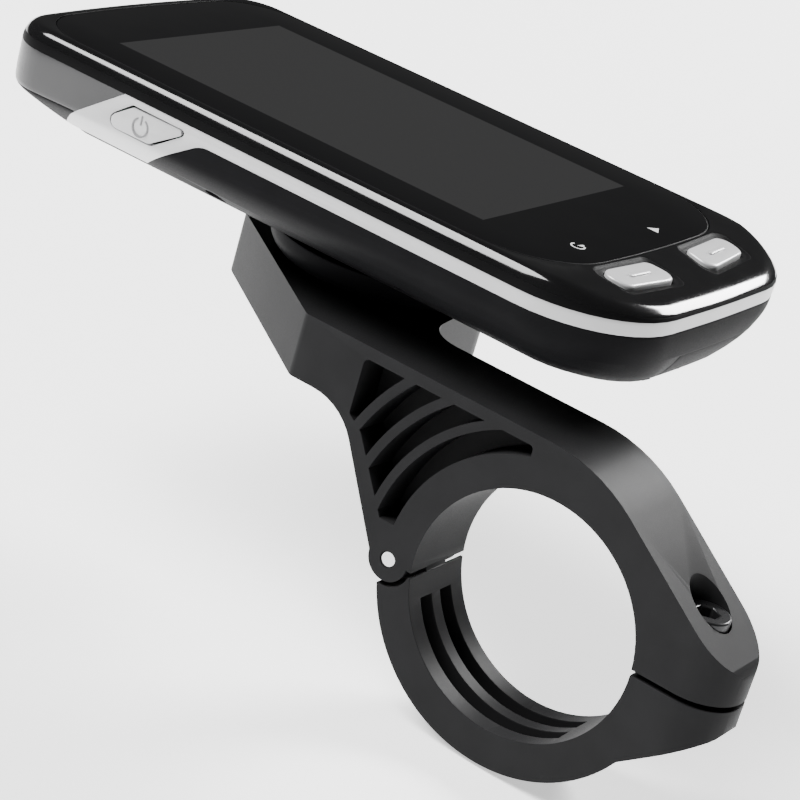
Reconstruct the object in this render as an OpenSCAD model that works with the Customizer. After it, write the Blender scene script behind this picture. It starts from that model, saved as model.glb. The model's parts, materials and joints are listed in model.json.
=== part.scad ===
// Cycling computer on an out-front handlebar mount.
// Frame: origin on the handlebar axis at the middle of the clamp, +X along the bar,
// +Y ahead of the bar, +Z up, square to the screen. Millimetres.

/* [Handlebar clamp] */
// Bore of the clamp ring
bore_d = 35.2; // [35:0.1:35.4]
// Width of clamp and arm along the bar
clamp_w = 13.7; // [13.5:0.1:14]
// Outer radius of the strap ring
strap_r = 23; // [22.8:0.1:23.2]
// Height of the flat top of the arm above the bar axis
arm_top = 24.9; // [24.8:0.1:25]
// Distance of the hinge pin ahead of the bar axis
hinge_y = 21.5; // [21.3:0.1:21.7]
// Distance of the clamp screw behind the bar axis
screw_y = 22.3; // [22.2:0.1:22.5]
// Gap left between arm and strap at the screw
split_gap = 0.8; // [0.6:0.1:0.9]

/* [Twist mount] */
// Sideways distance from the clamp to the twist-lock axis
lock_x = 20; // [19.5:0.1:20.5]
// Forward distance from the bar axis to the twist-lock axis
lock_y = 50.75; // [50.5:0.05:51]
// Rim radius of the receptacle
rim_r = 17.5; // [17.3:0.1:17.7]
// Radius of the foot's neck
neck_r = 10.4; // [10.2:0.1:10.6]
// Radius over the foot's two tabs
tab_r = 12.9; // [12.6:0.1:13]

/* [Computer] */
// Width of the computer
case_w = 58; // [57.5:0.1:58.5]
// Length of the computer
case_l = 109; // [108:0.5:110]
// Height of the glass above the bar axis
glass_z = 45.8; // [45.7:0.1:45.9]
// Depth from glass to the flat of the back
case_t = 16.2; // [16.1:0.1:16.3]
// Width of the visible display
display_w = 39.2; // [38:0.1:40]
// Length of the visible display
display_l = 65.3; // [64:0.1:66]
// Travel of the two front keys
key_travel = 0.5; // [0.3:0.05:0.5]
// Travel of the power button
power_travel = 0.4; // [0.2:0.05:0.4]

/* [Hidden] */
$fn = 72;
chord = 0.03;                 // greatest chord error of a rounded corner
over = 1;                     // overrun of a cut past the solid it cuts
bore_r = bore_d / 2;
half_w = clamp_w / 2;

// clamp
split_z = 1.4;                // lower face of the arm's boss
boss_back = screw_y + 8.6;    // rear extreme of the screw boss
hinge_z = -2.3;
pin_r = 1.25;
ear_r = 3.2;
seat_r = 3.9;                 // clearance radius round the ears and the tongue
tongue_w = 5;
tongue_gap = 0.15;
screw_r = 1.95;
screw_head_r = 3.3;
screw_head_h = 3.9;
counterbore_r = 3.6;
counterbore_z = 6.4;
washer_t = 0.5;
screw_tip_z = -3.5;
insert_r = 3;
insert_top = -0.4;
insert_l = 5;
head_z = 15.4;                // underside of the arm's head
web_t = 2;                    // web left between the side pockets

// twist mount
seat_z = 22.9;                // floor of the recess the receptacle sits in
base_r = 14.2;
rim_z = 29.45;
cavity_r = 13.3;
floor_z = 25.7;
lip_z = 27.5;
foot_z = 25.8;
tab_h = 1.6;
tab_half_angle = 27;
lip_clearance = 0.08;
mount_screw_x = 9.5;          // distance of each receptacle screw from the lock axis

// computer, heights measured down from the glass as negative numbers
case_y = lock_y + 1.3;        // middle of the case
display_d = 6.95;             // display centre ahead of the case's middle
band_top = -3.05;
band_bottom = -5.1;
skirt_z = -7.95;              // where the upright side turns into the back's slope
skirt_fall = 0.033;           // how much that edge drops per millimetre forward
slope_in = [12, 7, 5];        // how far the slope runs in at the sides, front and rear
front_slope = 0.058;
front_bow_r = 328;
front_corner_r = 7.8;
rear_slope = 0.02;
rear_bow_r = 300;
rear_corner_r = 15.9;
under_corner_r = 12;          // radius of the rear corners underneath
least_corner_r = 4;
edge_in = [1.9, 2.5];         // width of the bezel's rounding at the sides and ends
glass_front = 51.35;          // front edge of the glass ahead of the case's middle
glass_t = 1.1;
glass_half_w = 26.8;
glass_rear = 42.35;           // rear edge of the glass behind the case's middle
deck_fall = 0.15;             // slope of the deck the keys stand in
fit = 0.1;                    // assembly gap between fixed parts
board_top = -7;
board_t = 1;
cell = [32.6, 52, 5];
shell_t = 1;                  // thickness of the nose cover and the side panels
key_x = 11.3;
key_d = -46.1;
key_flange_z = -2.6;
dome_z = -3.6;                // top of each key's dome switch
button_d = 26.1;
button_w = -6.6;
button_back = -27.9;
switch_x = -24.4;             // tip of the power switch
case_screw_x = 21;
case_screw_d = [-18.1, 15.8];
port_x = 5.2;
port_w = 24;
flap_top = -9.9;
flap_t = 1.6;
flap_low = -47.85;            // inner face of the port cover at the back
flap_high = -50.99;           // and at the cover's top edge
port_board_top = -9.4;
port_board_t = 0.8;
vent_at = [10, -33];

function unit(v) = v / norm(v);

// Points of one corner p, between its neighbours a and b, rounded with radius r
function corner(p, a, b, r) =
    let(u = unit(a - p), w = unit(b - p), half = acos(u * w) / 2,
        c = p + unit(u + w) * r / sin(half), s = p + u * r / tan(half) - c,
        start = atan2(s.y, s.x), turn = (180 - 2 * half) * sign(cross(-u, w)),
        n = max(2, ceil(abs(turn) / (2 * acos(1 - chord / r)))))
    [for (i = [0:n]) c + r * [cos(start + turn * i / n), sin(start + turn * i / n)]];

// Closed outline through corners [x, y, radius]
function rounded(list) =
    let(n = len(list), p = [for (v = list) [v.x, v.y]])
    [for (i = [0:n - 1]) each list[i][2] > 0
        ? corner(p[i], p[(i + n - 1) % n], p[(i + 1) % n], list[i][2])
        : [p[i]]];

// Height of a bowed end's apex above its arc
function apex(half_l, slope, r) = half_l + r * (sqrt(1 + slope * slope) - 1);

// Plan of the case, moved in by side, front and rear, with radius rc at the rear corners
function plan(side, front, rear, rc) =
    let(w = case_w / 2 - side,
        fc = max(front_corner_r - side, least_corner_r),
        bow = min(front_bow_r, (w - fc) / front_slope),
        rear_bow = min(rear_bow_r, (w - rc) / rear_slope),
        f = apex(case_l / 2 - front, front_slope, bow),
        r = apex(case_l / 2 - rear, rear_slope, rear_bow))
    rounded([[0, f, bow], [-w, f - front_slope * w, fc],
             [-w, rear_slope * w - r, rc], [0, -r, rear_bow],
             [w, rear_slope * w - r, rc], [w, f - front_slope * w, fc]]);

function case_plan(t) = plan(t, t, t, max(rear_corner_r - t, least_corner_r));

// Plan of the cover glass, moved in by t
function glass_plan(t) =
    let(w = glass_half_w - t, fc = 9.5, rc = 13.5, slope = 0.05, bow = 250,
        front = apex(glass_front - t, front_slope, (w - fc) / front_slope),
        rear = apex(glass_rear - t, slope, bow))
    rounded([[0, front, (w - fc) / front_slope], [-w, front - front_slope * w, fc],
             [-w, slope * w - rear, rc], [0, -rear, bow],
             [w, slope * w - rear, rc], [w, front - front_slope * w, fc]]);

// Extrudes a Y-Z profile along X from x0 to x1
module along_x(x0, x1) {
    translate([x0, 0, 0]) rotate([90, 0, 90]) linear_extrude(x1 - x0) children();
}

// Extrudes a plan from z0 to z1
module slab(z0, z1) {
    translate([0, 0, z0]) linear_extrude(z1 - z0) children();
}

module rod(r, z0, z1) {
    translate([0, 0, z0]) cylinder(r = r, h = z1 - z0);
}

module on_case() {
    translate([lock_x, case_y, glass_z]) children();
}

module on_lock() {
    translate([lock_x, lock_y, 0]) children();
}

module on_hinge(x0, x1, r) {
    translate([x0, hinge_y, hinge_z]) rotate([0, 90, 0]) cylinder(r = r, h = x1 - x0);
}

module ring(out, inside) {
    difference() {
        polygon(case_plan(out));
        polygon(case_plan(inside));
    }
}

// ---- clamp and arm ----

module arm_side() {
    difference() {
        union() {
            polygon(rounded([
                [-boss_back, split_z, 0], [-boss_back, 5.85, 3], [-4.4, arm_top, 24],
                [44, arm_top, 0], [44, head_z, 0], [35.3, head_z, 9], [24.6, -2.4, 0],
                [17, -2.4, 0], [0, 0, 0], [-10, split_z, 0]]));
            translate([hinge_y, hinge_z]) circle(ear_r);
        }
        circle(bore_r);
    }
}

// One curved pocket between radii r0 and r1 about the bore
module pocket(r0, r1) {
    intersection() {
        difference() {
            circle(r1);
            circle(r0);
        }
        polygon(rounded([[5.6, 23.1, 0.6], [33.75, 23.1, 0.8], [33.75, 14.6, 0.5],
                         [31.2, 12.9, 2], [24.6, 2.8, 0], [5.6, 2.8, 0]]));
    }
}

module pockets() {
    pocket(22.3, 25.5);
    pocket(26.8, 29.7);
    pocket(31.05, 34.1);
    pocket(35.5, 45);
}

// Plan of arm and boss behind the head
module arm_plan() {
    translate([-half_w, half_w - boss_back]) square([clamp_w, 44 + boss_back - half_w]);
    translate([0, half_w - boss_back]) circle(half_w);
}

module head_plan() {
    polygon(rounded([[-half_w, 27, 0], [-half_w, 44.6, 1.5], [16.6, 74.3, 5], [25.5, 74.3, 9],
                     [38.5, 60, 14], [38.5, 41, 14], [28, 36, 10], [half_w, 33, 6], [half_w, 27, 0]]));
}

module clamp_arm() {
    color("#26272a") difference() {
        union() {
            intersection() {
                along_x(-half_w, half_w) arm_side();
                slab(-10, arm_top) arm_plan();
            }
            slab(head_z, arm_top) head_plan();
        }
        along_x(web_t / 2, half_w + over) pockets();
        along_x(-half_w - over, -web_t / 2) pockets();
        on_hinge(-half_w - over, half_w + over, pin_r);
        on_hinge(-tongue_w / 2 - tongue_gap, tongue_w / 2 + tongue_gap, seat_r);
        along_x(-tongue_w / 2 - tongue_gap, tongue_w / 2 + tongue_gap)
            polygon([[14, hinge_z], [hinge_y - seat_r, hinge_z], [hinge_y + 2, hinge_z - 1],
                     [hinge_y + 2, -9], [14, -9]]);
        translate([0, -screw_y, 0]) {
            rod(screw_r + 0.3, split_z - over, counterbore_z + over);
            rod(counterbore_r, counterbore_z, arm_top);
        }
        on_lock() {
            rod(base_r + 0.05, seat_z, arm_top + over);
            for (x = [-mount_screw_x, mount_screw_x]) translate([x, 0, 0]) {
                rod(1.3, head_z - over, seat_z + over);
                rod(2.4, head_z - over, head_z + 3);
            }
        }
    }
}

module clamp_strap() {
    rib = 1.1;
    color("#303135") difference() {
        union() {
            along_x(-half_w, half_w) difference() {
                intersection() {
                    circle(strap_r);
                    polygon([[-30, split_z - split_gap], [0, split_z - split_gap], [14, -3.2],
                             [30, -3.2], [30, -30], [-30, -30]]);
                }
                circle(bore_r);
                translate([hinge_y, hinge_z]) circle(seat_r);
            }
            intersection() {
                along_x(-half_w, half_w) difference() {
                    polygon(rounded([[-bore_r + 1, split_z - split_gap, 0],
                                     [-boss_back, split_z - split_gap, 0],
                                     [-boss_back, -3.2, 3], [-19.5, -12, 0],
                                     [-bore_r + 1, -12, 0]]));
                    circle(bore_r);
                }
                slab(-15, split_z) arm_plan();
            }
            on_hinge(-tongue_w / 2, tongue_w / 2, seat_r - 0.5);
            along_x(-tongue_w / 2, tongue_w / 2) difference() {
                polygon([[17.7, hinge_z], [hinge_y + 2.5, hinge_z - 2.3], [21.6, -7.8], [16, -8]]);
                circle(bore_r);
            }
        }
        on_hinge(-half_w, half_w, pin_r + 0.05);
        for (s = [-1, 1]) along_x(s * (rib + 1.4) - 1.4, s * (rib + 1.4) + 1.4)
            intersection() {
                difference() {
                    circle(bore_r + 2.6);
                    circle(bore_r - 1);
                }
                polygon([[0, 0], [30, -12], [30, -30], [-20, -30]]);
            }
        translate([0, -screw_y, 0]) {
            rod(insert_r, insert_top - insert_l, split_z);
            rod(screw_r + 0.25, insert_top - insert_l - 1, split_z);
        }
    }
}

module hinge_pin() {
    color("#d8d9db") on_hinge(-half_w + 0.2, half_w - 0.2, pin_r);
}

module clamp_screw() {
    color("#1c1c1e") translate([0, -screw_y, 0]) difference() {
        union() {
            rod(screw_r, screw_tip_z, counterbore_z + washer_t + 0.5);
            rod(screw_head_r, counterbore_z + washer_t, counterbore_z + washer_t + screw_head_h);
        }
        translate([0, 0, counterbore_z + washer_t + screw_head_h - 2.2])
            cylinder(r = 1.73, h = 3, $fn = 6);
    }
}

module screw_washer() {
    color("#55565a") translate([0, -screw_y, 0]) difference() {
        rod(screw_head_r + 0.1, counterbore_z, counterbore_z + washer_t);
        rod(screw_r, counterbore_z - over, counterbore_z + washer_t + over);
    }
}

module screw_insert() {
    color("#b8964a") translate([0, -screw_y, 0]) difference() {
        rod(insert_r, insert_top - insert_l, insert_top);
        rod(screw_r + 0.25, insert_top - insert_l - over, insert_top + over);
    }
}

// ---- twist mount ----

// Two opposite sectors that open to half_angle each side of X
module sectors(half_angle, r) {
    for (turn = [0, 180]) rotate(turn)
        polygon([[0, 0], [2 * r, -2 * r * tan(half_angle)], [2 * r, 2 * r * tan(half_angle)]]);
}

module receptacle() {
    color("#1f2023") on_lock() difference() {
        rotate_extrude() polygon(concat(
            [[0, seat_z], [base_r, seat_z]],
            [for (a = [0:15:75]) [base_r + (rim_r - base_r) * sin(a),
                                  rim_z - 0.4 - (rim_z - 0.5 - arm_top) * cos(a)]],
            [[rim_r, rim_z - 0.4], [rim_r, rim_z], [0, rim_z]]));
        rod(cavity_r, floor_z, lip_z);
        rod(neck_r + lip_clearance, floor_z, rim_z + over);
        slab(floor_z + 1, rim_z + over) intersection() {
            circle(cavity_r);
            sectors(tab_half_angle + 5, cavity_r);
        }
        for (x = [-mount_screw_x, mount_screw_x]) translate([x, 0, 0])
            rod(1, seat_z - over, floor_z - 0.4);
    }
}

module receptacle_screws() {
    color("#77787c") on_lock() for (x = [-mount_screw_x, mount_screw_x]) translate([x, 0, 0])
        difference() {
            union() {
                rod(1, head_z + 3.5, floor_z - 0.6);
                rod(2.1, head_z + 1.4, head_z + 3);
                rod(1.2, head_z + 2.5, head_z + 4.5);
            }
            rod(0.8, head_z + 1, head_z + 2.2);
        }
}

module quarter_turn_foot() {
    color("#26272a") on_lock() difference() {
        union() {
            rod(neck_r, foot_z, glass_z - case_t);
            rod(6, foot_z, glass_z - case_t + 1.2);
            slab(foot_z, foot_z + tab_h) intersection() {
                circle(tab_r);
                rotate(90) sectors(tab_half_angle, tab_r);
            }
        }
        rod(7, foot_z - over, foot_z + 1);
    }
}

// ---- case ----

// Lowers a plan as it runs forward, as the side's lower edge does
module falling() {
    multmatrix([[1, 0, 0, 0], [0, 1, 0, 0], [0, -skirt_fall, 1, 0], [0, 0, 0, 1]]) children();
}

// Solid outer form of the case below the bezel, moved in by t, with radius rc at the rear corners
// underneath
module case_form(t = 0, rc = under_corner_r) {
    hull() {
        slab(band_bottom, band_top) polygon(case_plan(t));
        falling() slab(skirt_z + t / 2, skirt_z + t / 2 + 0.01) polygon(case_plan(t));
        slab(t - case_t, t - case_t + 0.01)
            polygon(plan(slope_in.x + t / 3, slope_in.y + t / 3, slope_in.z + t / 3, rc));
    }
}

// Region ahead of the slanted ends of the side panels, extruded across the case
module ahead(t = 0) {
    along_x(-40, 40) polygon([[29.4 + t, -3], [47.6 + t, -16.25], [70, -16.25], [70, -3]]);
}

// Outline of the side panels in the Y-Z plane, grown by t
module wing_side(t = 0) {
    polygon([[29.4 + t, -3], [46 + 3 * t, -15.1 - t], [30.1 - t, -15.1 - t], [15 - t, -5.1],
             [15 - t, -3]]);
}

// Space of the side panels
module wings(t = 0) {
    intersection() {
        along_x(-40, 40) wing_side(t);
        difference() {
            slab(-17, 0) square(200, center = true);
            case_form(shell_t + t, least_corner_r);
        }
    }
}

// Space of the nose cover between two insets of the plan, above the side's lower edge
module nose_space(out, inside, t) {
    intersection() {
        slab(-12, band_top) ring(out, inside);
        ahead(t);
        falling() slab(skirt_z + 0.1, 30) square(200, center = true);
    }
}

module button_side(t = 0) {
    polygon(rounded([[27.7 + t, -4.15 + t, 0.8], [33.6 + t, -8.5 - t, 1.2], [23.6 - t, -8.5 - t, 1.8],
                     [17.2 - t, -4.15 + t, 0.5]]));
}

module case_screw_places() {
    for (x = [-case_screw_x, case_screw_x], d = case_screw_d) translate([x, d, 0]) children();
}

module flap_zone(t = 0) {
    along_x(port_x - port_w / 2 - t, port_x + port_w / 2 + t)
        polygon([[-60, flap_top + t], [-60, -17], [flap_low + t, -17], [flap_low + t, -case_t],
                 [flap_high + t, flap_top + t]]);
}

module rear_housing() {
    color("#1d1e20") on_case() difference() {
        intersection() {
            case_form();
            slab(-case_t, band_bottom) polygon(case_plan(0));
        }
        nose_space(-over, shell_t + fit / 2, 0);
        wings(fit / 2);
        difference() {
            slab(-8.2, 0) polygon(case_plan(4.4));
            case_screw_places() rod(3.4, -12, board_top - board_t);
            case_screw_places() rod(2.3, -12, band_bottom);
        }
        translate([-cell.x / 2 - 0.6, -30, -14.1]) cube([cell.x + 1.2, 58, 8]);
        translate([-17, -46, -10.4]) cube([34, 62, 4]);
        case_screw_places() {
            rod(1.1, -15, 0);
            rod(1.7, -17, -11.4);
        }
        flap_zone();
        translate([-6, -54, -13.2]) cube([21.5, 8, 3.1]);
        translate([-8, -47.8, -13.3]) cube([25, 11.8, 5.3]);
        translate([vent_at.x, vent_at.y, 0]) rod(0.8, -17, -10);
        translate([0, lock_y - case_y, 0]) rod(6, -17, 1.2 - case_t);
        for (m = [0, 1]) mirror([m, 0, 0]) {
            translate([-25.5, button_d, button_w])
                rotate([0, 90, 0]) cylinder(r = 0.8, h = 4, center = true);
            along_x(-29, -26.4) translate([19.3, -8.4]) square([11.4, 3.2]);
            along_x(-29, button_back + 0.5) button_side(0.12);
        }
    }
}

module side_band() {
    color("#d2d3d5") on_case() difference() {
        union() {
            difference() {
                slab(band_bottom, band_top) ring(0, 2);
                ahead();
            }
            intersection() {
                wings();
                case_form();
                slab(-15.1, band_top) polygon(case_plan(0));
            }
        }
        along_x(-30, -26.9) button_side(0.12);
    }
}

module nose_cover() {
    color("#6b6c70") on_case() nose_space(0, shell_t, fit / 2);
}

// Plan of the two keys, grown by t
module key_plans(t = 0) {
    for (m = [0, 1]) mirror([m, 0])
        polygon(rounded([[5.85 - t, -44.2 + t, 1.3], [17.7 + t, -43.35 + t, 1.8],
                         [16.8 + t, -47.8 - t, 1.8], [4.9 - t, -49.1 - t, 1.8]]));
}

// Height of the deck the keys stand in, at the distance d
function deck(d) = deck_fall * (glass_rear + d);

// Space below the deck
module below_deck() {
    along_x(-40, 40) polygon([[-60, -5], [-60, -3.6], [-52.6, -1.9], [-50.5, deck(-50.5)],
                              [-40, deck(-40)], [-40, over], [60, over], [60, -5]]);
}

module front_bezel() {
    color("#0c0c0d") on_case() difference() {
        intersection() {
            hull() for (v = [[band_top, 0], [-1.9, 0.12], [-0.95, 0.38], [-0.3, 0.7], [-0.01, 1]])
                slab(v[0], v[0] + 0.01)
                    polygon(plan(edge_in[0] * v[1], edge_in[1] * v[1], edge_in[1] * v[1],
                                 rear_corner_r - edge_in[0] * v[1]));
            below_deck();
        }
        slab(-glass_t, over) polygon(glass_plan(-fit));
        translate([-22.4, display_d - 36.4, -4]) cube([44.8, 72.8, 5]);
        slab(-2, over) key_plans(0.15);
        slab(-4, -2) key_plans(1);
    }
}

module cover_glass() {
    color("#151618") on_case() slab(-glass_t, -0.02) polygon(glass_plan(0));
}

module touch_sensor() {
    color("#2a2b2e") on_case() translate([-22.1, display_d - 36, -1.45]) cube([44.2, 72, 0.35]);
}

module display_panel() {
    color("#303134") on_case() difference() {
        translate([-21.7, display_d - 35, -3.4]) cube([43.4, 70, 1.95]);
        translate([-display_w / 2, display_d - display_l / 2, -1.5])
            cube([display_w, display_l, 1]);
    }
}

module display_frame() {
    color("#8d9094") on_case() difference() {
        union() {
            slab(-4.8, -3.1) ring(2.4, 4.3);
            slab(-4.8, -3.45) intersection() {
                polygon(case_plan(4));
                translate([-30, -30]) square([60, 74]);
            }
            slab(-5.05, -4.6) intersection() {
                polygon(case_plan(4));
                translate([-30, -60]) square([60, 31]);
            }
            case_screw_places() rod(2.3, band_bottom + 0.05, -4);
        }
        case_screw_places() rod(0.8, -6, -3.8);
    }
}

module sealing_gasket() {
    color("#3b3c40") on_case() slab(band_bottom, -4.8) ring(2.8, 3.6);
}

module main_board() {
    color("#1e6b45") on_case() difference() {
        slab(board_top - board_t, board_top) intersection() {
            polygon(case_plan(5.2));
            translate([-23, -46]) square([46, 97]);
        }
        case_screw_places() rod(2.4, -10, 0);
    }
}

module battery() {
    color("#9aa0a6") on_case() translate([-cell.x / 2, -cell.y / 2, -13.9]) cube(cell);
}

module gps_antenna() {
    color("#c9b78f") on_case() translate([-9, 43.4, board_top]) cube([18, 5.6, 2]);
}

module buzzer() {
    color("#2b2b2d") on_case() translate([-11, -33, 0]) difference() {
        rod(4.5, -10.2, board_top - board_t);
        rod(0.7, -11, -9.6);
    }
}

// Small board that carries both connectors, with the header that joins it to the main board
module port_board() {
    color("#1e6b45") on_case() {
        slab(port_board_top - port_board_t, port_board_top)
            translate([-7.5, -47.3]) square([24, 10.8]);
        slab(port_board_top - fit, board_top - board_t) translate([0, -40]) square([9, 2.4]);
    }
}

module usb_connector() {
    color("#b4b6ba") on_case() translate([-5.5, -49.2, -12.9]) difference() {
        cube([8, 5.6, 2.7]);
        translate([0.5, -1, 0.5]) cube([7, 5.6, 1.7]);
    }
}

module card_socket() {
    color("#a9acb0") on_case() difference() {
        translate([4.2, -48.2, -11.6]) cube([11.2, 11.2, 1.4]);
        translate([4.8, -49, -11.2]) cube([10, 10.6, 0.7]);
    }
}

module power_switch() {
    color("#5a5c60") on_case() translate([0, button_d, 0]) {
        translate([switch_x + 1, -2, board_top]) cube([3.2, 4, 1.5]);
        translate([switch_x, -0.8, board_top + 0.2]) cube([1.4, 1.6, 1]);
    }
}

module key_board() {
    color("#2b7d58") on_case() translate([-15.5, key_d - 2.6, -4.6]) cube([31, 5.2, 0.4]);
}

module key_switches() {
    color("#c4c6c9") on_case() for (x = [-key_x, key_x]) translate([x, key_d, 0]) {
        translate([-2, -2, -4.2]) cube([4, 4, 0.4]);
        rod(1.1, -3.9, dome_z);
    }
}

module vent_membrane() {
    color("#e8e8e8") on_case() translate([vent_at.x, vent_at.y, 0]) rod(3, -10.4, -10.2);
}

module housing_screws() {
    color("#8a8c90") on_case() case_screw_places() difference() {
        union() {
            rod(0.8, -12.4, -3.9);
            rod(1.5, -12.5, -11.4);
        }
        rod(0.6, -13, -12);
    }
}

// ---- keys and covers that move ----

module power_button() {
    color("#dcdddf") on_case() {
        along_x(-29.25, button_back) button_side();
        along_x(button_back - fit, button_back + 0.5) translate([19.8, -8.1]) square([10.4, 2.6]);
        translate([button_back + 0.4, button_d, button_w]) rotate([0, 90, 0])
            cylinder(r = 0.65, h = switch_x - power_travel - 0.05 - button_back - 0.4);
    }
}

// Key on the side s of the case, its top sloping with the deck
module key(s) {
    color("#cfd0d2") on_case() difference() {
        intersection() {
            union() {
                slab(key_flange_z, over) key_plans();
                slab(key_flange_z, key_flange_z + 0.5) key_plans(0.5);
                translate([s * key_x, key_d, 0]) rod(1, dome_z + key_travel + 0.05, key_flange_z + 0.2);
            }
            translate([s * 20, key_d, 0]) cube([40, 20, 20], center = true);
        }
        along_x(-40, 40) polygon([[-60, over + 1], [-60, -2.02], [-43.3, 0.05], [-43.3, over + 1]]);
    }
}

module lap_key() key(-1);

module start_key() key(1);

module port_cover() {
    color("#2a2b2d") on_case() intersection() {
        case_form();
        flap_zone(-fit / 2);
    }
}

clamp_arm();
clamp_strap();
hinge_pin();
clamp_screw();
screw_washer();
screw_insert();
receptacle();
receptacle_screws();
quarter_turn_foot();
rear_housing();
side_band();
nose_cover();
front_bezel();
cover_glass();
touch_sensor();
display_panel();
display_frame();
sealing_gasket();
main_board();
port_board();
battery();
gps_antenna();
buzzer();
usb_connector();
card_socket();
power_switch();
key_board();
key_switches();
vent_membrane();
housing_screws();
power_button();
lap_key();
start_key();
port_cover();
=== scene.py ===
import bpy
import bmesh
import json
import math
from mathutils import Matrix, Vector
from mathutils.geometry import delaunay_2d_cdt


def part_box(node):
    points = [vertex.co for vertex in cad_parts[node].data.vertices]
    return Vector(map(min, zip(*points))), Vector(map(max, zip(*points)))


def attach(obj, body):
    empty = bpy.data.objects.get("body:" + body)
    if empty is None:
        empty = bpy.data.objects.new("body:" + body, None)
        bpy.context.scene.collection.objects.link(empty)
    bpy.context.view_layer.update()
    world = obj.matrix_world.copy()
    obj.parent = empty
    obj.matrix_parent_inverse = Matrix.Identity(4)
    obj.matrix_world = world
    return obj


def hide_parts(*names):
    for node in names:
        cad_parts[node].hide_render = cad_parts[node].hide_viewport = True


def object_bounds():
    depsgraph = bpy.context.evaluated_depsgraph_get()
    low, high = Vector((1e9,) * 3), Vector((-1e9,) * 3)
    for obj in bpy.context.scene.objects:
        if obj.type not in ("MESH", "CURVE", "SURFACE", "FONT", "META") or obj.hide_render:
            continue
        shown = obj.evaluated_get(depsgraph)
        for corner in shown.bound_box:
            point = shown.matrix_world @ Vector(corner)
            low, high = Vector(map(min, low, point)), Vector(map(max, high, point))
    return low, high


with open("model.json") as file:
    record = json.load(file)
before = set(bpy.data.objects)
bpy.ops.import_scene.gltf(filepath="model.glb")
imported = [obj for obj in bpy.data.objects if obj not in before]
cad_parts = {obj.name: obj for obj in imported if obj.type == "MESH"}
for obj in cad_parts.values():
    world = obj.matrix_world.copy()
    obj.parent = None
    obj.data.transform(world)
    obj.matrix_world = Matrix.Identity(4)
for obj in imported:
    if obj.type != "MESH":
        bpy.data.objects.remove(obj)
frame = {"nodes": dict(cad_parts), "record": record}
MM = 0.001
CAD_BOX = [list(v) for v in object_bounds()]
LOW = Vector(CAD_BOX[0])

# The case has a frame of its own: u to the right, d ahead and w up from the middle of its top.
BEZEL_LOW, BEZEL_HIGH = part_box("front_bezel")
CASE = Vector(((BEZEL_LOW.x + BEZEL_HIGH.x) / 2, (BEZEL_LOW.y + BEZEL_HIGH.y) / 2, BEZEL_HIGH.z))
HALF_W = (BEZEL_HIGH.x - BEZEL_LOW.x) / 2 / MM
HALF_L = (BEZEL_HIGH.y - BEZEL_LOW.y) / 2 / MM
BAND_TOP = (BEZEL_LOW.z - BEZEL_HIGH.z) / MM
BAND_BOTTOM = -5.1
BACK = (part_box("rear_housing")[0].z - CASE.z) / MM
SKIRT = (-7.95, -0.033)        # lower edge of the upright side at d = 0, and its fall per mm ahead
SLOPE_IN = (12, 7, 5)          # how far the back's slope runs in at the sides, front and rear
FRONT_SLOPE, REAR_SLOPE = 0.058, 0.02   # slopes of the bowed ends where they meet the corners
FRONT_BOW_R, REAR_BOW_R = 328, 300
FRONT_R, REAR_R = 7.8, 15.9    # corners in plan
UNDER_R = 12.0                 # rear corners underneath
LEAST_R = 4
GLASS_HALF_W = 26.8
GLASS_FRONT, GLASS_REAR = 51.35, -42.35
GLASS_SLOPE, GLASS_BOW_R = 0.05, 250    # its rear end
GLASS_FRONT_R, GLASS_REAR_R = 9.5, 13.5
GLASS_T = 1.1
GLASS_TOP = -0.02
SCREEN_W, SCREEN_L, SCREEN_D = 39.2, 65.3, 6.95   # size, and how far ahead its centre lies
MARK_LOW, MARK_HIGH = -0.018, -0.006    # lower and upper face of the printed signs
DECK_FALL = 0.15
KEY_GROW = 0.1                 # how much wider a key is than its corners say
KEY_BASE = -2.5
KEY_TOP, KEY_FRONT, KEY_FALL = 0.02, -43.3, 0.1   # top at the front edge, and its slope
KEY_MIDDLE = (11.3, -46.1)
KEY_LEAN = math.atan2(0.85, 11.85)
KEY_CORNERS = ((5.85, -44.2, 1.3), (17.7, -43.35, 1.8), (16.8, -47.8, 1.8), (4.9, -49.1, 1.8))
WING_FRONT = (29.4, -3.0, 1.3736)   # d, w and slope of the side panel's front edge
WING_REAR = (15.0, -5.1)
WING_LOW = -15.1
BUTTON = ((27.7, -4.15, 0.8), (33.6, -8.5, 1.2), (23.6, -8.5, 1.8), (17.2, -4.15, 0.5))
PORT = (-6.8, 17.2, -9.9)      # sides and top edge of the port cover
PORT_UNDER = -47.85            # its edge on the back
SCREW_R = 1.7                  # bores of the housing screws
VENT_R = 0.8
BORE_TOP = -11.4
SMOOTH = 32                    # faces that meet at more than this angle keep a sharp edge


# ---- outlines ----

def rounded(corners, steps=10):
    """Closed outline through corners (x, y, radius), each with the same number of points."""
    points = []
    for i, (x, y, r) in enumerate(corners):
        p, a = Vector((x, y)), Vector(corners[i - 1][:2])
        b = Vector(corners[(i + 1) % len(corners)][:2])
        u, w = (a - p).normalized(), (b - p).normalized()
        half = u.angle(w) / 2
        centre = p + (u + w).normalized() * r / math.sin(half)
        s = p + u * (r / math.tan(half)) - centre
        start = math.atan2(s.y, s.x)
        turn = math.copysign(math.pi - 2 * half, w.x * u.y - w.y * u.x)
        points += [centre + r * Vector((math.cos(start + turn * k / steps),
                                        math.sin(start + turn * k / steps)))
                   for k in range(steps + 1)]
    return points


def apex(half, slope, r):
    return half + r * (math.hypot(1, slope) - 1)


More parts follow.
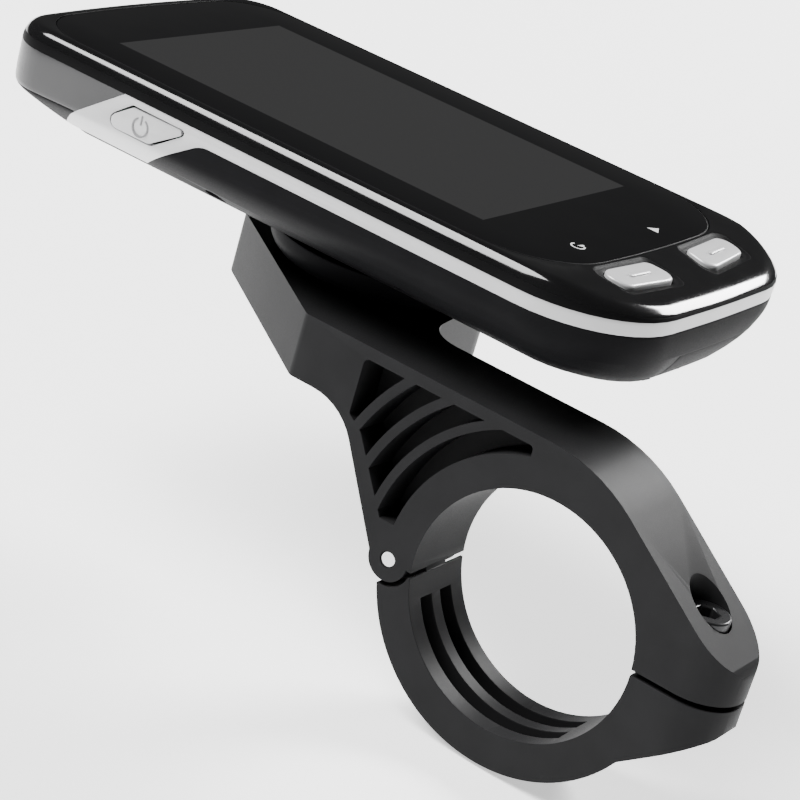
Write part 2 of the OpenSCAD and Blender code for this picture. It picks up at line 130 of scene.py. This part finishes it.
def bowed(w, front, rear, front_slope, rear_slope, rear_bow, front_r, rear_r):
    """Outline with straight sides and two bowed ends, as the case and its glass have."""
    front_bow = min(FRONT_BOW_R, (w - front_r) / front_slope)
    f, r = apex(front, front_slope, front_bow), apex(rear, rear_slope, rear_bow)
    return rounded([(0, f, front_bow), (-w, f - front_slope * w, front_r),
                    (-w, rear_slope * w - r, rear_r), (0, -r, rear_bow),
                    (w, rear_slope * w - r, rear_r), (w, f - front_slope * w, front_r)])


def plan(side, front, rear, rear_r=None):
    """Plan of the case, moved in by side, front and rear."""
    w, rear_r = HALF_W - side, rear_r or max(REAR_R - side, LEAST_R)
    return bowed(w, HALF_L - front, HALF_L - rear, FRONT_SLOPE, REAR_SLOPE,
                 min(REAR_BOW_R, (w - rear_r) / REAR_SLOPE), max(FRONT_R - side, LEAST_R), rear_r)


def glass_plan(t):
    """Plan of the glass, moved in by t."""
    return bowed(GLASS_HALF_W - t, GLASS_FRONT - t, -GLASS_REAR - t, FRONT_SLOPE, GLASS_SLOPE,
                 GLASS_BOW_R, GLASS_FRONT_R, GLASS_REAR_R)


def key_plan(t, side):
    """Plan of a key, grown by t, on the side -1 or 1."""
    grow = ((-t, t), (t, t), (t, -t), (-t, -t))
    outline = rounded([(x + g[0], y + g[1], r) for (x, y, r), g in zip(KEY_CORNERS, grow)], 6)
    return [Vector((side * p.x, p.y)) for p in outline]


def inside(p, outline):
    """Whether the point p lies inside the closed outline."""
    hit = False
    for a, b in zip(outline, outline[1:] + outline[:1]):
        if (a.y > p.y) != (b.y > p.y) and p.x < (b.x - a.x) * (p.y - a.y) / (b.y - a.y) + a.x:
            hit = not hit
    return hit


def deck(d):
    """Height of the bezel's top: flat beside the glass, sloping down behind it."""
    past = GLASS_REAR + 0.4 - d
    if past <= 0:
        return 0.0
    ease = 1.2
    return -DECK_FALL * (past * past / (2 * ease) if past < ease else past - ease / 2)


def skirt(d):
    return SKIRT[0] + SKIRT[1] * d


# ---- meshes ----

def ring(bm, outline, height):
    """New vertices along an outline; height is a number or a function of (u, d)."""
    return [bm.verts.new((p.x, p.y, height(p.x, p.y) if callable(height) else height))
            for p in outline]


def strip(bm, a, b):
    """Quads between two rings of the same length."""
    for i in range(len(a)):
        j = (i + 1) % len(a)
        bm.faces.new((a[i], a[j], b[j], b[i]))


def fill(bm, outer, holes, height, up=True, extra=()):
    """Triangles between the ring outer and the rings in holes, through the extra points."""
    rings = [outer, *holes]
    verts = [v for r in rings for v in r]
    edges, base = [], 0
    for r in rings:
        edges += [(base + i, base + (i + 1) % len(r)) for i in range(len(r))]
        base += len(r)
    flat = [v.co.xy for v in verts] + [Vector(p) for p in extra]
    verts += [bm.verts.new((p[0], p[1], height(p[0], p[1]))) for p in extra]
    outlines = [[v.co.xy for v in r] for r in rings]
    co, _, tris, source, _, _ = delaunay_2d_cdt(flat, edges, [], 0, 1e-6)
    mapped = [verts[s[0]] if s else bm.verts.new((c.x, c.y, height(c.x, c.y)))
              for c, s in zip(co, source)]
    for tri in tris:
        middle = sum((co[i] for i in tri), Vector((0, 0))) / 3
        if inside(middle, outlines[0]) and not any(inside(middle, o) for o in outlines[1:]):
            bm.faces.new([mapped[i] for i in (tri if up else reversed(tri))])
    for v in [v for v in bm.verts if not v.link_faces]:
        bm.verts.remove(v)


def finish(name, bm, body, mats, replaced=()):
    """Object from a mesh in the case's millimetres."""
    bmesh.ops.remove_doubles(bm, verts=bm.verts, dist=1e-5)
    bmesh.ops.recalc_face_normals(bm, faces=bm.faces)
    mesh = bpy.data.meshes.new(name)
    bm.to_mesh(mesh)
    bm.free()
    mesh.transform(Matrix.Scale(MM, 4))
    mesh.shade_smooth()
    mesh.set_sharp_from_angle(angle=math.radians(SMOOTH))
    obj = bpy.data.objects.new(name, mesh)
    bpy.context.scene.collection.objects.link(obj)
    obj.location = CASE
    for m in mats:
        mesh.materials.append(m)
    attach(obj, body)
    if replaced:
        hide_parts(*replaced)


def bevel(obj, width, segments=2, angle=40):
    mod = obj.modifiers.new("edges", "BEVEL")
    mod.width = width * MM
    mod.segments = segments
    mod.limit_method = "ANGLE"
    mod.angle_limit = math.radians(angle)
    mod.harden_normals = False


# ---- materials ----

DRIFT = 6.0                    # size of the slow changes in tone, in millimetres


class Nodes:
    """Short names for building a node material."""

    def __init__(self, name):
        self.mat = bpy.data.materials.new(name)
        self.mat.use_nodes = True
        self.tree = self.mat.node_tree
        self.shader = self.tree.nodes["Principled BSDF"]
        self.coords = self.new("ShaderNodeTexCoord").outputs["Object"]

    def new(self, kind, **inputs):
        node = self.tree.nodes.new(kind)
        for key, value in inputs.items():
            self.put(node.inputs[key.replace("_", " ")], value)
        return node

    def put(self, socket, value):
        if isinstance(value, bpy.types.NodeSocket):
            self.tree.links.new(value, socket)
        else:
            socket.default_value = value

    def noise(self, size, detail=3.0, stretch=None):
        """Noise with features of about size millimetres."""
        vector = self.coords
        if stretch:
            mapping = self.new("ShaderNodeMapping", Vector=self.coords)
            mapping.inputs["Scale"].default_value = stretch
            vector = mapping.outputs[0]
        return self.new("ShaderNodeTexNoise", Vector=vector, Scale=1 / (size * MM),
                        Detail=detail).outputs["Fac"]

    def span(self, fac, low, high):
        """Maps a noise's middle range to low..high."""
        node = self.new("ShaderNodeMapRange", Value=fac)
        node.inputs["From Min"].default_value = 0.3
        node.inputs["From Max"].default_value = 0.7
        node.inputs["To Min"].default_value = low
        node.inputs["To Max"].default_value = high
        return node.outputs[0]

    def tint(self, fac, color, spread):
        mix = self.new("ShaderNodeMix")
        mix.data_type = "RGBA"
        self.put(mix.inputs["Factor"], fac)
        mix.inputs[6].default_value = (*[c * (1 - spread) for c in color], 1)
        mix.inputs[7].default_value = (*[min(c * (1 + spread), 1) for c in color], 1)
        return mix.outputs[2]

    def bump(self, height, depth):
        node = self.new("ShaderNodeBump", Height=height, Strength=1.0, Distance=depth * MM)
        self.put(self.shader.inputs["Normal"], node.outputs[0])


def finish_of(name, color, rough, grain, depth, spread=0.08, metal=0.0, stretch=None, shine=0.5,
              rough_spread=0.12, glow=0.0):
    """Moulded, painted or metal surface: grain of grain mm and depth mm, slow drift in tone."""
    n = Nodes(name)
    slow = n.noise(DRIFT, 2.0)
    fine = n.noise(grain, 4.0, stretch)
    n.put(n.shader.inputs["Base Color"], n.tint(n.span(slow, 0, 1), color, spread))
    n.put(n.shader.inputs["Roughness"],
          n.span(fine, rough * (1 - rough_spread), min(rough * (1 + rough_spread), 1)))
    n.shader.inputs["Metallic"].default_value = metal
    n.shader.inputs["Specular IOR Level"].default_value = shine
    if glow:
        n.shader.inputs["Emission Color"].default_value = (*color, 1)
        n.shader.inputs["Emission Strength"].default_value = glow
    n.bump(fine, depth)
    return n.mat


def board_finish():
    """Solder resist over a pattern of tracks."""
    n = Nodes("board")
    tracks = n.new("ShaderNodeTexVoronoi", Vector=n.coords, Scale=1 / (1.6 * MM))
    tracks.feature = "DISTANCE_TO_EDGE"
    edge = n.new("ShaderNodeMath", Value=tracks.outputs["Distance"])
    edge.operation = "GREATER_THAN"
    edge.inputs[1].default_value = 0.06
    n.put(n.shader.inputs["Base Color"], n.tint(edge.outputs[0], (0.025, 0.15, 0.07), 0.25))
    n.shader.inputs["Roughness"].default_value = 0.35
    n.bump(edge.outputs[0], 0.03)
    return n.mat


def screen_finish():
    """Switched-off display: an even dark grey under a gloss, with its fine pixel grid."""
    n = Nodes("display")
    grid = n.new("ShaderNodeTexBrick", Vector=n.coords, Scale=1 / (0.9 * MM))
    grid.inputs["Color1"].default_value = (0.0150, 0.0150, 0.0151, 1)
    grid.inputs["Color2"].default_value = (0.0145, 0.0145, 0.0146, 1)
    grid.inputs["Mortar"].default_value = (0.0135, 0.0135, 0.0136, 1)
    grid.inputs["Mortar Size"].default_value = 0.02
    grid.offset = 0
    n.put(n.shader.inputs["Base Color"], grid.outputs["Color"])
    n.put(n.shader.inputs["Roughness"], n.span(n.noise(20, 1.0), 0.05, 0.07))
    n.shader.inputs["Specular IOR Level"].default_value = 0.15
    return n.mat


FINISH = {
    "arm_black": finish_of("arm_black", (0.0125, 0.0125, 0.013), 0.46, 0.16, 0.012, shine=0.045),
    "mount_black": finish_of("mount_black", (0.005, 0.005, 0.0055), 0.5, 0.2, 0.006, shine=0.02),
    "case_black": finish_of("case_black", (0.0065, 0.0065, 0.007), 0.5, 0.22, 0.004, shine=0.015),
    "gloss_black": finish_of("gloss_black", (0.004, 0.004, 0.0042), 0.1, 4.0, 0.0008,
                             rough_spread=0.2),
    "seat_black": finish_of("seat_black", (0.004, 0.004, 0.0042), 0.5, 0.3, 0.002, shine=0.03),
    "nose_grey": finish_of("nose_grey", (0.028, 0.028, 0.029), 0.24, 0.3, 0.002, 0.05, shine=0.4),
    "silver": finish_of("silver", (0.42, 0.42, 0.425), 0.32, 0.08, 0.003, 0.03, metal=0.25),
    "key_silver": finish_of("key_silver", (0.48, 0.48, 0.485), 0.34, 0.08, 0.003, 0.03,
                            metal=0.25),
    "lens": finish_of("lens", (0.003, 0.003, 0.0032), 0.05, 25.0, 0.0, 0.05, shine=0.2),
    "film": finish_of("film", (0.05, 0.05, 0.055), 0.12, 8.0, 0.001),
    "display": screen_finish(),
    "frame_metal": finish_of("frame_metal", (0.55, 0.56, 0.58), 0.38, 0.3, 0.004, metal=1.0,
                             stretch=(1, 12, 1)),
    "seal": finish_of("seal", (0.006, 0.006, 0.0065), 0.55, 0.25, 0.006, shine=0.03),
    "board": board_finish(),
    "cell": finish_of("cell", (0.6, 0.61, 0.63), 0.3, 1.2, 0.03, metal=1.0),
    "ceramic": finish_of("ceramic", (0.6, 0.53, 0.38), 0.6, 0.2, 0.01),
    "membrane": finish_of("membrane", (0.8, 0.8, 0.79), 0.7, 0.1, 0.01),
    "steel": finish_of("steel", (0.62, 0.62, 0.63), 0.24, 0.1, 0.003, 0.04, metal=1.0,
                       stretch=(1, 1, 8)),
    "screw_black": finish_of("screw_black", (0.02, 0.02, 0.021), 0.3, 0.3, 0.006, metal=0.6),
    "brass": finish_of("brass", (0.7, 0.5, 0.22), 0.3, 0.12, 0.004, metal=1.0, stretch=(1, 1, 8)),
}
MARK_LIGHT = finish_of("mark_light", (0.5, 0.5, 0.5), 0.45, 0.1, 0.001)
MARK_DARK = finish_of("mark_dark", (0.16, 0.16, 0.165), 0.5, 0.1, 0.002)


# ---- computer, from above ----

def bezel():
    """Gloss rim with a rounded outer edge, a sloping deck and a dished seat round each key."""
    bm = bmesh.new()
    top = lambda u, d: deck(d)
    quarter = [math.radians(a) for a in (0, 12, 24, 36, 48, 60, 70, 80, 90)]
    rings = []
    for a in quarter:
        run = 1 - math.cos(a)
        outline = plan(2.0 * run, 2.5 * run, 2.9 * run)
        rings.append(ring(bm, outline, lambda u, d, s=math.sin(a):
                          BAND_TOP + (deck(d) - BAND_TOP) * s))
    for low, high in zip(rings, rings[1:]):
        strip(bm, low, high)
    polished = {f for r in rings[3:] for v in r for f in v.link_faces}
    holes_top, holes_low = [], []
    rim = [ring(bm, glass_plan(-0.16), 0.0), ring(bm, glass_plan(-0.08), -0.06),
           ring(bm, glass_plan(-0.08), BAND_TOP)]
    holes_top.append(rim[0])
    holes_low.append(rim[-1])
    strip(bm, rim[0], rim[1])
    strip(bm, rim[1], rim[2])
    for side in (-1, 1):
        seat = [ring(bm, key_plan(t, side), lambda u, d, z=z: deck(d) - z)
                for t, z in ((1.3, 0), (1.15, 0.04), (0.9, 0.16), (0.65, 0.24), (0.3, 0.27),
                             (0.2, 0.34))]
        seat.append(ring(bm, key_plan(0.2, side), BAND_TOP))
        for a, b in zip(seat, seat[1:]):
            strip(bm, a, b)
        holes_top.append(seat[0])
        holes_low.append(seat[-1])
    for face in set(bm.faces) - polished:
        face.material_index = 1
    limits = [rings[-1], *holes_top]
    keep_off = [[v.co.xy for v in r] for r in limits]
    extra = []
    for i in range(-22, 23):
        for j in range(9):
            p = Vector((i * 1.15, -43.1 - j * 0.95))
            clear = min((p - q).length for r in keep_off for q in r) > 0.45
            if clear and inside(p, keep_off[0]) and not any(inside(p, r) for r in keep_off[1:]):
                extra.append(tuple(p))
    fill(bm, rings[-1], holes_top, top, True, extra)
    fill(bm, rings[0], holes_low, top, False)
    finish("bezel", bm, "device", [FINISH["gloss_black"], FINISH["seat_black"]],
           replaced=["front_bezel"])


def lens():
    """Cover glass with the printed border and the display seen through it."""
    half_w, half_l = SCREEN_W / 2, SCREEN_L / 2
    bm = bmesh.new()
    levels = ((0, -GLASS_T), (0, -0.22), (0.05, -0.1), (0.12, -0.04), (0.22, GLASS_TOP))
    rings = [ring(bm, glass_plan(t), z) for t, z in levels]
    for low, high in zip(rings, rings[1:]):
        strip(bm, low, high)
    for face in bm.faces:
        face.material_index = 2
    corners = ((-half_w, -half_l), (half_w, -half_l), (half_w, half_l), (-half_w, half_l))
    screen = ring(bm, [Vector((x, SCREEN_D + y)) for x, y in corners], GLASS_TOP)
    fill(bm, rings[-1], [screen], lambda u, d: GLASS_TOP)
    bm.faces.new(screen).material_index = 1
    fill(bm, rings[0], [], lambda u, d: -GLASS_T, False)
    finish("lens", bm, "device", [FINISH["lens"], FINISH["display"], FINISH["seat_black"]],
           replaced=["cover_glass"])


def flat_mark(bm, outline, z0, z1, place):
    """Thin closed plate over an outline of (x, y), placed in space by place(x, y, z)."""
    low = [bm.verts.new(place(x, y, z0)) for x, y in outline]
    high = [bm.verts.new(place(x, y, z1)) for x, y in outline]
    strip(bm, low, high)
    bm.faces.new(high)
    bm.faces.new(low[::-1])


def arc_outline(r, width, start, end):
    """Band of the given width along an arc, in degrees."""
    steps = 28
    angles = [math.radians(start + (end - start) * k / steps) for k in range(steps + 1)]
    outer = [((r + width / 2) * math.cos(a), (r + width / 2) * math.sin(a)) for a in angles]
    inner = [((r - width / 2) * math.cos(a), (r - width / 2) * math.sin(a)) for a in angles]
    return outer + inner[::-1]


def icons():
    """Loop arrow and play sign printed ahead of the two keys."""
    bm = bmesh.new()
    for (cx, cy), outline in (((-12.6, -36.9), arc_outline(0.95, 0.26, 60, 330)),
                              ((-12.6, -36.9), [(0.1, 0.2), (1.35, -0.1), (0.75, -0.75)]),
                              ((7.6, -37.9), [(-0.75, 0.95), (-0.75, -0.95), (1.1, 0)])):
        flat_mark(bm, outline, MARK_LOW, MARK_HIGH,
                  lambda x, y, z, cx=cx, cy=cy: (cx + x, cy + y, z))
    finish("icons", bm, "device", [MARK_LIGHT])


def key(name, side):
    """Key with rounded upper edges, a top that slopes with the deck, and a raised dash."""
    bm = bmesh.new()
    slope = lambda d: KEY_TOP + (d - KEY_FRONT) * KEY_FALL
    edge = 0.34
    rings = [ring(bm, key_plan(KEY_GROW, side), KEY_BASE)]
    for a in (0, 18, 36, 54, 72, 90):
        t = edge * (1 - math.cos(math.radians(a)))
        down = edge * (1 - math.sin(math.radians(a)))
        rings.append(ring(bm, key_plan(KEY_GROW - t, side), lambda u, d, k=down: slope(d) - k))
    for low, high in zip(rings, rings[1:]):
        strip(bm, low, high)
    dash = []
    c, s = math.cos(KEY_LEAN), math.sin(KEY_LEAN)
    for half, wide, rise in ((2.5, 0.42, 0.0), (2.47, 0.39, 0.2), (2.4, 0.3, 0.25)):
        outline = rounded([(-half, wide, wide * 0.9), (-half, -wide, wide * 0.9),
                           (half, -wide, wide * 0.9), (half, wide, wide * 0.9)], 4)
        turned = [Vector((side * (KEY_MIDDLE[0] + p.x * c - p.y * s),
                          KEY_MIDDLE[1] + p.x * s + p.y * c)) for p in outline]
        dash.append(ring(bm, turned, lambda u, d, k=rise: slope(d) + k - 0.01))
    for low, high in zip(dash, dash[1:]):
        strip(bm, low, high)
    fill(bm, dash[-1], [], lambda u, d: slope(d))
    fill(bm, rings[-1], [dash[0]], lambda u, d: slope(d))
    fill(bm, rings[0], [], lambda u, d: KEY_BASE, False)
    finish(name + "_cap", bm, name, [FINISH["key_silver"]], replaced=[name])


# ---- computer, sides and back ----

def rearness(d):
    """0 over most of the case, rising smoothly to 1 at its rear end."""
    start, length = 22, 24
    x = min(max((-d - start) / length, 0), 1)
    return x * x * (3 - 2 * x)


def skin():
    """Outer surface of the case from the bezel down, closed at the back."""
    bm = bmesh.new()
    top, low = plan(0, 0, 0), plan(*SLOPE_IN, UNDER_R)
    soft = 0.1
    side_end = -0.14               # where the upright side's levels stop and the slope's start

    def ringed(levels):
        """Vertices at each level: a share of the upright side, or a depth past its lower edge."""
        out = []
        for kind, value in levels:
            verts = []
            for a, b in zip(top, low):
                depth = skirt(a.y) - BACK
                start = (skirt(a.y) - BAND_TOP) / depth
                past = start + (side_end - start) * value if kind == "side" else value
                share = (math.hypot(past, soft) + past) / 2
                bulge = 0.02 + 0.2 * rearness(a.y)
                share -= bulge * 4 * share * max(1 - share, 0)
                p = a.lerp(b, share)
                verts.append(bm.verts.new((p.x, p.y, skirt(a.y) - past * depth)))
            out.append(verts)
        return out

    levels = [("side", v) for v in (0, 0.35, 0.7, 1)]
    levels += [("slope", v) for v in (-0.12, -0.06, -0.02, 0.02, 0.06, 0.12, 0.2, 0.35, 0.5,
                                      0.65, 0.78)]
    rings = ringed(levels)
    tight = ((0.9, 0.85), (0.945, 0.5), (0.985, 0.2), (1.03, 0.05), (1.06, 0.01), (1.09, 0.0))
    wide = ((0.86, 1.35), (0.93, 0.95), (1.0, 0.6), (1.08, 0.28), (1.18, 0.07), (1.3, 0.0))
    for near, far in zip(tight, wide):
        verts = []
        for a, b in zip(top, low):
            share, rise = Vector(near).lerp(Vector(far), rearness(a.y))
            verts.append(bm.verts.new((*a.lerp(b, share), BACK + rise)))
        rings.append(verts)
    for a, b in zip(rings, rings[1:]):
        strip(bm, b, a)
    bm.faces.new(rings[-1])
    bmesh.ops.recalc_face_normals(bm, faces=bm.faces)
    if sum(f.normal.z * f.calc_center_median().z for f in bm.faces) < 0:
        bmesh.ops.reverse_faces(bm, faces=bm.faces)
    return bm


def cut(bm, point, normal, where=lambda f: True):
    faces = [f for f in bm.faces if where(f)]
    geom = list({e for f in faces for e in f.edges} | {v for f in faces for v in f.verts}) + faces
    bmesh.ops.bisect_plane(bm, geom=geom, plane_co=point, plane_no=normal, dist=1e-4)


FRONT_NORMAL = Vector((0, 1, WING_FRONT[2])).normalized()
FRONT_POINT = Vector((0, WING_FRONT[0], WING_FRONT[1]))
FILLET_R = 5.0
FILLET = [math.radians(a) for a in (0, 8.4, 16.7, 25.1, 33.5)]
FILLET_C = Vector((0, WING_REAR[0] - 0.3 * FILLET_R, WING_REAR[1] - FILLET_R))
SKIRT_NORMAL = Vector((0, -SKIRT[1], 1)).normalized()
SKIRT_POINT = Vector((0, 0, SKIRT[0] + 0.1))


def is_ahead(p, gap=0.0):
    return (p - FRONT_POINT).dot(FRONT_NORMAL) > gap


def is_trim(p, gap=0.0):
    """Silver band and side panels."""
    if is_ahead(p, -gap) or p.z < WING_LOW + gap:
        return False
    return any((p - FILLET_C).dot(Vector((0, math.sin(a), math.cos(a)))) > FILLET_R + gap
               for a in FILLET)


def is_nose(p, gap=0.0):
    return is_ahead(p, gap) and (p - SKIRT_POINT).dot(SKIRT_NORMAL) > gap


def is_flap(p, gap=0.0):
    return (PORT[0] + gap < p.x < PORT[1] - gap and p.y < PORT_UNDER - gap
            and p.z < PORT[2] - gap)


def button_outline(grow=0.0):
    middle = Vector((sum(c[0] for c in BUTTON) / 4, sum(c[1] for c in BUTTON) / 4))
    out = []
    for p in rounded(BUTTON, 4):
        out.append(p + (p - middle).normalized() * grow)
    return out


def bored(obj, holes):
    """Cuts upright round holes (x, y, radius, upper end) out of obj from below."""
    bm = bmesh.new()
    for x, y, r, top in holes:
        outline = [Vector((x + r * math.cos(a), y + r * math.sin(a)))
                   for a in (math.tau * k / 32 for k in range(32))]
        low, high = ring(bm, outline, BACK - 2), ring(bm, outline, top)
        strip(bm, low, high)
        bm.faces.new(high)
        bm.faces.new(low[::-1])
    mesh = bpy.data.meshes.new("bores")
    bm.to_mesh(mesh)
    bm.free()
    mesh.transform(Matrix.Scale(MM, 4))
    cutter = bpy.data.objects.new("bores", mesh)
    bpy.context.scene.collection.objects.link(cutter)
    cutter.location = CASE
    cutting = obj.modifiers.new("bores", "BOOLEAN")
    cutting.operation = "DIFFERENCE"
    cutting.solver = "EXACT"
    cutting.object = cutter
    bpy.context.view_layer.update()
    shaped = obj.evaluated_get(bpy.context.evaluated_depsgraph_get())
    result = bpy.data.meshes.new_from_object(shaped)
    obj.modifiers.clear()
    obj.data = result
    bpy.data.objects.remove(cutter)


def region(name, keep, gap, thickness, body, slot, replaced, shape=None, edge=0.1,
           button_gap=None, holes=()):
    """Piece of the skin where keep(point, gap) holds, given a thickness inwards."""
    bm = skin()
    cut(bm, FRONT_POINT + FRONT_NORMAL * gap, FRONT_NORMAL)
    for a in FILLET:
        n = Vector((0, math.sin(a), math.cos(a)))
        cut(bm, FILLET_C + n * (FILLET_R + gap), n)
    cut(bm, (0, 0, WING_LOW + gap), (0, 0, 1))
    cut(bm, SKIRT_POINT + SKIRT_NORMAL * gap, SKIRT_NORMAL)
    cut(bm, (0, PORT_UNDER - gap, 0), (0, 1, 0), lambda f: f.calc_center_bounds().z < PORT[2])
    for x in (PORT[0] + gap, PORT[1] - gap):
        cut(bm, (x, 0, 0), (1, 0, 0), lambda f: f.calc_center_median().y < -30)
    cut(bm, (0, 0, PORT[2] - gap), (0, 0, 1), lambda f: f.calc_center_median().y < -30)
    outline = None
    if button_gap is not None:
        outline = button_outline(button_gap)
        for a, b in zip(outline, outline[1:] + outline[:1]):
            along = b - a
            if along.length > 1e-4:
                cut(bm, (0, a.x, a.y), (0, along.y, -along.x),
                    lambda f: f.calc_center_median().x < -HALF_W + 4
                    and 5 < f.calc_center_median().y < 45)

    def kept(f):
        p = f.calc_center_median()
        if not keep(p, gap):
            return False
        if outline is None:
            return True
        in_button = p.x < -HALF_W + 4 and inside(Vector((p.y, p.z)), outline)
        return in_button if shape == "button" else not in_button

    bmesh.ops.delete(bm, geom=[f for f in bm.faces if not kept(f)], context="FACES")
    bmesh.ops.dissolve_limit(bm, angle_limit=math.radians(0.05), verts=bm.verts, edges=bm.edges)
    if shape == "button":
        bmesh.ops.translate(bm, verts=bm.verts, vec=(-0.2, 0, 0))
    mesh = bpy.data.meshes.new(name)
    bm.to_mesh(mesh)
    bm.free()
    mesh.transform(Matrix.Scale(MM, 4))
    mesh.shade_smooth()
    mesh.set_sharp_from_angle(angle=math.radians(SMOOTH))
    obj = bpy.data.objects.new(name, mesh)
    bpy.context.scene.collection.objects.link(obj)
    obj.location = CASE
    mesh.materials.append(FINISH[slot])
    thick = obj.modifiers.new("thickness", "SOLIDIFY")
    thick.thickness = thickness * MM
    thick.offset = -1
    if holes:
        bored(obj, holes)
    bevel(obj, edge, 2, 50)
    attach(obj, body)
    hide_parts(*replaced)


def power_mark():
    """Power sign on the button: an open ring and a bar."""
    bm = bmesh.new()
    face = -HALF_W - 0.2
    at = lambda x, y, z: (face - z, 25.6 + x, -6.55 + y)
    flat_mark(bm, arc_outline(1.35, 0.26, 118, 422), -0.01, 0.02, at)
    flat_mark(bm, [(-0.13, 0.35), (0.13, 0.35), (0.13, 1.75), (-0.13, 1.75)], -0.01, 0.02, at)
    finish("power_mark", bm, "power_button", [MARK_DARK])


def sides():
    region("housing_shell", lambda p, g: not (is_trim(p, -g) or is_nose(p, -g) or is_flap(p, -g)
                                              or (p.z > BAND_BOTTOM and not is_ahead(p))
                                              or is_ahead(p, -g) and p.z > skirt(p.y) + 0.1 - g),
           0.0, 1.2, "device", "case_black", ["rear_housing"],
           holes=[(x, d, SCREW_R, BORE_TOP) for x in (-21, 21) for d in (-18.1, 15.8)]
           + [(10, -33, VENT_R, BORE_TOP)])
    region("trim_shell", is_trim, 0.04, 0.6, "device", "silver", ["side_band"], button_gap=0.16)
    region("nose_shell", is_nose, 0.04, 1.0, "device", "nose_grey", ["nose_cover"])
    region("port_flap", is_flap, 0.05, 0.6, "port_cover", "seal", ["port_cover"])
    region("power_cap", is_trim, 0.04, 0.6, "power_button", "silver", ["power_button"],
           shape="button", edge=0.14, button_gap=-0.22)
    power_mark()


# ---- mount ----

def refined(node, width, segments=2, slot=None):
    """Copy of a CAD node with its flat faces joined and its edges rounded."""
    edge_angle = 35
    source = frame["nodes"][node]
    bm = bmesh.new()
    bm.from_mesh(source.data)
    bm.transform(source.matrix_world)
    bmesh.ops.remove_doubles(bm, verts=bm.verts, dist=1e-7)
    bmesh.ops.dissolve_limit(bm, angle_limit=math.radians(1), verts=bm.verts, edges=bm.edges)
    mesh = bpy.data.meshes.new(node + "_form")
    bm.to_mesh(mesh)
    bm.free()
    mesh.shade_smooth()
    mesh.set_sharp_from_angle(angle=math.radians(edge_angle))
    obj = bpy.data.objects.new(node + "_form", mesh)
    bpy.context.scene.collection.objects.link(obj)
    mesh.materials.append(FINISH[slot or SLOTS[node]])
    bevel(obj, width, segments, edge_angle)
    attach(obj, BODY_OF[node])
    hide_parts(node)


# ---- camera, floor and light ----

def aim(obj, target, roll=0.0):
    """Turns obj so that its -Z axis looks at target, rolled about that axis."""
    look = (Vector(target) - obj.location).to_track_quat("-Z", "Y").to_matrix().to_4x4()
    obj.matrix_world = Matrix.Translation(obj.location) @ look @ Matrix.Rotation(roll, 4, "Z")


def camera():
    data = bpy.data.cameras.new("camera")
    data.lens = 117
    data.sensor_width = 36
    data.clip_start = 0.01
    obj = bpy.data.objects.new("camera", data)
    bpy.context.scene.collection.objects.link(obj)
    obj.location = Vector((-293.3, -128.3, 152.4)) * MM
    aim(obj, Vector((17.5, 39.9, 8.7)) * MM, math.radians(16.56))
    bpy.context.scene.camera = obj


def floor():
    size = 6.0
    mesh = bpy.data.meshes.new("floor")
    z = LOW.z - 0.0005
    mesh.from_pydata([(-size, -size, z), (size, -size, z), (size, size, z), (-size, size, z)],
                     [], [(0, 1, 2, 3)])
    obj = bpy.data.objects.new("floor", mesh)
    bpy.context.scene.collection.objects.link(obj)
    mesh.materials.append(finish_of("floor_paper", (0.93, 0.93, 0.93), 0.8, 2.0, 0.0, 0.005,
                                      glow=0.9))


def softbox(name, direction, distance, size, power):
    """Area light that far from the case, in the given direction, facing it."""
    data = bpy.data.lights.new(name, "AREA")
    data.shape = "RECTANGLE"
    data.size, data.size_y = size
    data.energy = power
    obj = bpy.data.objects.new(name, data)
    bpy.context.scene.collection.objects.link(obj)
    obj.location = CASE + Vector(direction).normalized() * distance
    aim(obj, CASE)


def light():
    world = bpy.data.worlds.new("studio")
    world.use_nodes = True
    world.node_tree.nodes["Background"].inputs["Color"].default_value = (0.06, 0.06, 0.06, 1)
    bpy.context.scene.world = world
    softbox("key_light", (-0.38, 0.44, 0.82), 1.6, (0.95, 0.95), 78)
    softbox("back_light", (0.86, -0.16, 0.5), 1.4, (0.5, 0.4), 42)


SLOTS = {entry["node"]: entry["material_slot"] for entry in frame["record"]["subparts"]}
BODY_OF = {node: body for body, nodes in frame["record"]["behaviour"]["bodies"].items()
           for node in nodes}

camera()
floor()
light()
for name, obj in frame["nodes"].items():
    obj.data.materials.clear()
    obj.data.materials.append(FINISH[SLOTS[name]])
bezel()
lens()
icons()
key("lap_key", -1)
key("start_key", 1)
sides()
refined("clamp_arm", 0.5, 3)
refined("clamp_strap", 0.5, 3)
refined("receptacle", 0.4, 3)
refined("quarter_turn_foot", 0.25)
refined("clamp_screw", 0.25)
refined("screw_washer", 0.08)
refined("hinge_pin", 0.2)
